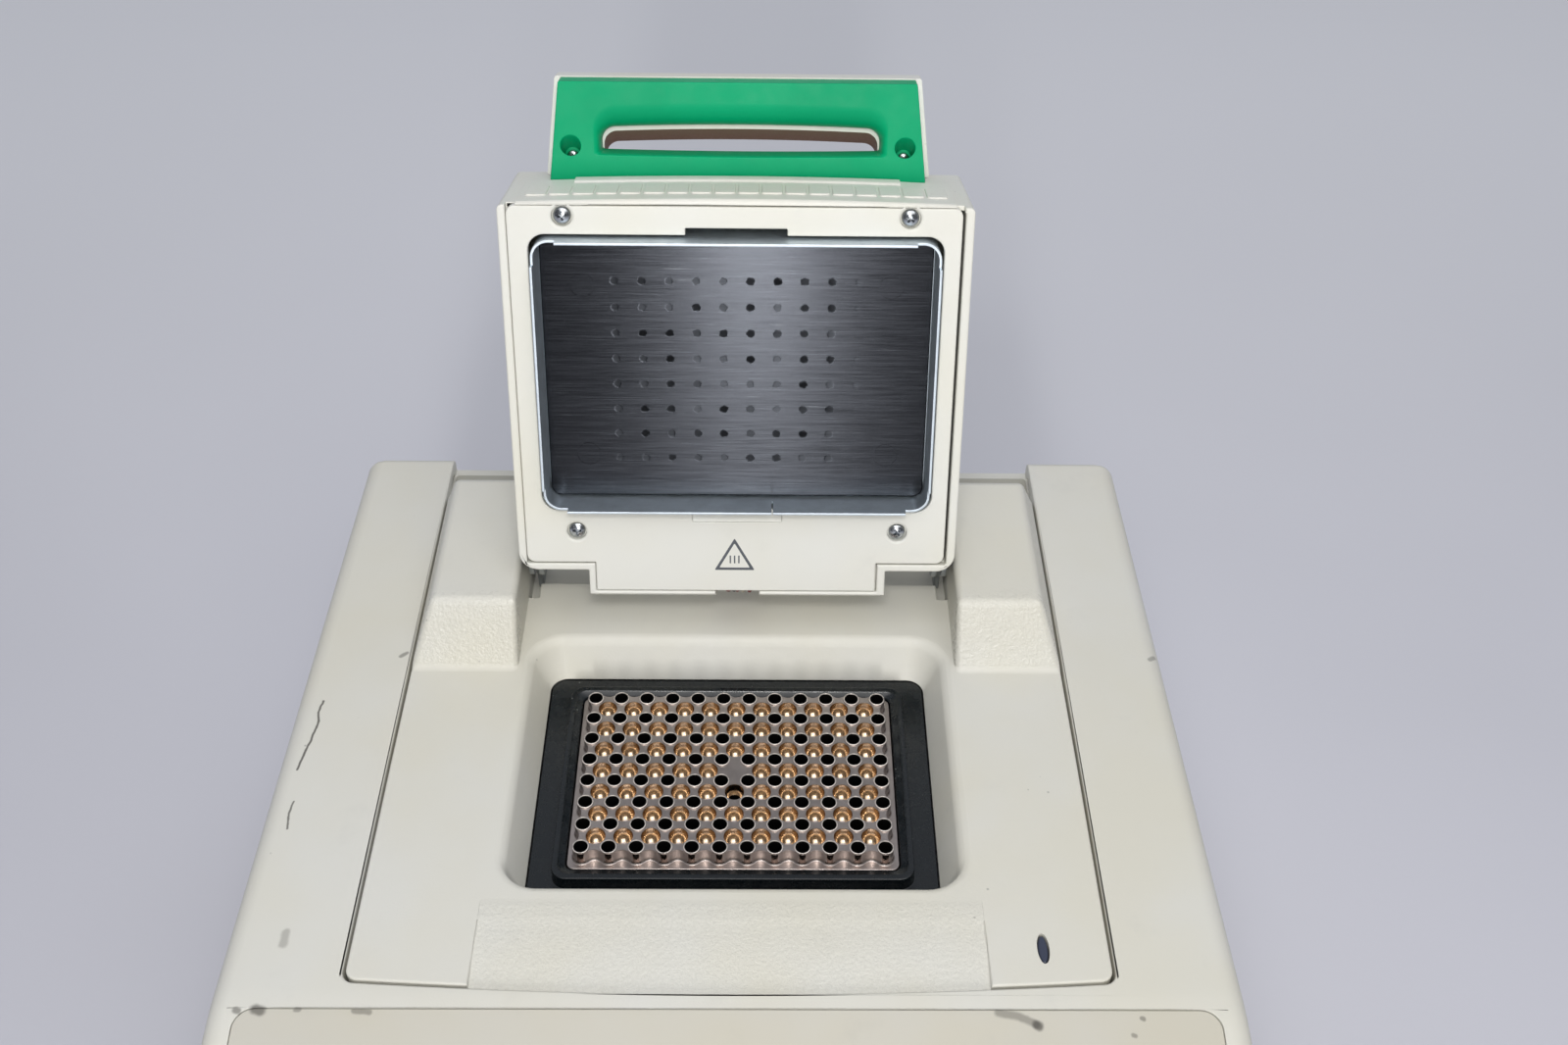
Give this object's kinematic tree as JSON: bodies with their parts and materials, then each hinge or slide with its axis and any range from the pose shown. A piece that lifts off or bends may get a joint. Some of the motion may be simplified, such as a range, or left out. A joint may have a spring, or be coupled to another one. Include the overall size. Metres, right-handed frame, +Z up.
{
  "type": "thermal cycler",
  "caption": "Benchtop thermal cycler: beige chassis with a sloping control panel, a lift-out well block module and a hinged heated lid with a green handle.",
  "frame": {"origin": "centre of the footprint, on the plane that the feet rest on", "axes": "+X to the operator's right, +Y to the back, +Z up; the lid is open as stored"},
  "size_m": [0.3154, 0.456, 0.3745],
  "materials": {
    "housing_beige": "fine grained moulded plastic, warm off-white",
    "housing_lower": "fine grained moulded plastic, a little darker",
    "handle_green": "satin green plastic",
    "frame_black": "satin black plastic",
    "black_plastic": "matte black plastic",
    "foot_rubber": "matte black rubber",
    "panel_print": "printed polycarbonate sheet over sealed keys",
    "display_clear": "clear window",
    "circuit_board": "green solder mask",
    "sheet_steel": "bright stamped sheet",
    "sheet_aluminium": "plain mill finish",
    "painted_panel": "satin grey paint",
    "guard_wire": "bright plated wire",
    "block_metal": "plated block, silver brown with golden cups",
    "anodised_plate": "brushed black anodised plate with faint tube marks",
    "peltier_ceramic": "white ceramic",
    "zinc_screw": "bright zinc plate",
    "smoked_lens": "dark smoked plastic",
    "silicone_mat": "red-brown silicone",
    "cable_red": "dark red sleeved wires"
  },
  "bodies": {
    "chassis": {"upper_housing": "housing_beige", "lower_housing": "housing_lower", "foot_front_left": "foot_rubber", "foot_front_right": "foot_rubber", "foot_back_left": "foot_rubber", "foot_back_right": "foot_rubber", "panel_overlay": "panel_print", "display_window": "display_clear", "display_module": "black_plastic", "control_board": "circuit_board", "main_board": "circuit_board", "power_supply": "sheet_steel", "bay_tray": "sheet_aluminium", "bay_connector": "black_plastic", "back_panel": "painted_panel", "fan_frame": "black_plastic", "fan_guard": "guard_wire", "power_inlet": "black_plastic", "power_switch": "black_plastic", "serial_port": "sheet_steel"},
    "fan": {"fan_rotor": "black_plastic"},
    "rocker": {"power_rocker": "black_plastic"},
    "block_module": {"module_cover": "housing_beige", "status_lens": "smoked_lens", "block_frame": "frame_black", "sample_block": "block_metal", "peltier_module_1": "peltier_ceramic", "peltier_module_2": "peltier_ceramic", "peltier_module_3": "peltier_ceramic", "heat_sink": "sheet_aluminium", "module_base": "sheet_aluminium", "module_board": "circuit_board", "module_plug": "black_plastic", "hinge_bracket_left": "sheet_steel", "hinge_bracket_right": "sheet_steel", "hinge_shaft": "zinc_screw"},
    "lid": {"lid_shell": "housing_beige", "lid_inner_cover": "housing_beige", "lid_nose_grip": "housing_beige", "lid_screw_1": "zinc_screw", "lid_screw_2": "zinc_screw", "lid_screw_3": "zinc_screw", "lid_screw_4": "zinc_screw", "handle_grip": "handle_green", "handle_cover": "housing_beige", "handle_screw_1": "zinc_screw", "handle_screw_2": "zinc_screw", "hinge_arm_left": "sheet_steel", "hinge_arm_right": "sheet_steel", "lid_cable": "cable_red"},
    "heated_lid": {"heater_tray": "sheet_steel", "heated_plate": "anodised_plate", "heater_mat": "silicone_mat", "heater_carrier": "sheet_aluminium"},
    "wheel": {"pressure_wheel": "housing_lower", "pressure_screw": "zinc_screw"}
  },
  "joints": [
    {"name": "module_lift", "type": "slide", "parent": "chassis", "child": "block_module", "axis": [0, 0, 1], "range_m": [0, 0.25]},
    {"name": "lid_hinge", "type": "hinge", "parent": "block_module", "child": "lid", "pos_m": [0, 0.1451, 0.2186], "axis": [1, 0, 0], "range_deg": [0, 107.8]},
    {"name": "wheel_turn", "type": "hinge", "parent": "lid", "child": "wheel", "pos_m": [0, 0.19824, 0.28267], "axis": [0, -0.9521, 0.3059], "range_deg": [0, 540]},
    {"name": "heater_travel", "type": "slide", "parent": "lid", "child": "heated_lid", "axis": [0, -0.9521, 0.3059], "range_m": [0, 0.006]},
    {"name": "fan_spin", "type": "hinge", "parent": "chassis", "child": "fan", "pos_m": [0, 0.205, 0.1284], "axis": [0, 1, 0], "continuous": true},
    {"name": "rocker_tilt", "type": "hinge", "parent": "chassis", "child": "rocker", "pos_m": [-0.052, 0.2174, 0.054], "axis": [1, 0, 0], "range_deg": [-14, 0]}
  ],
  "couplings": [
    {"joint": "wheel_turn", "follows": "heater_travel", "rad_per_m": 1570}
  ]
}
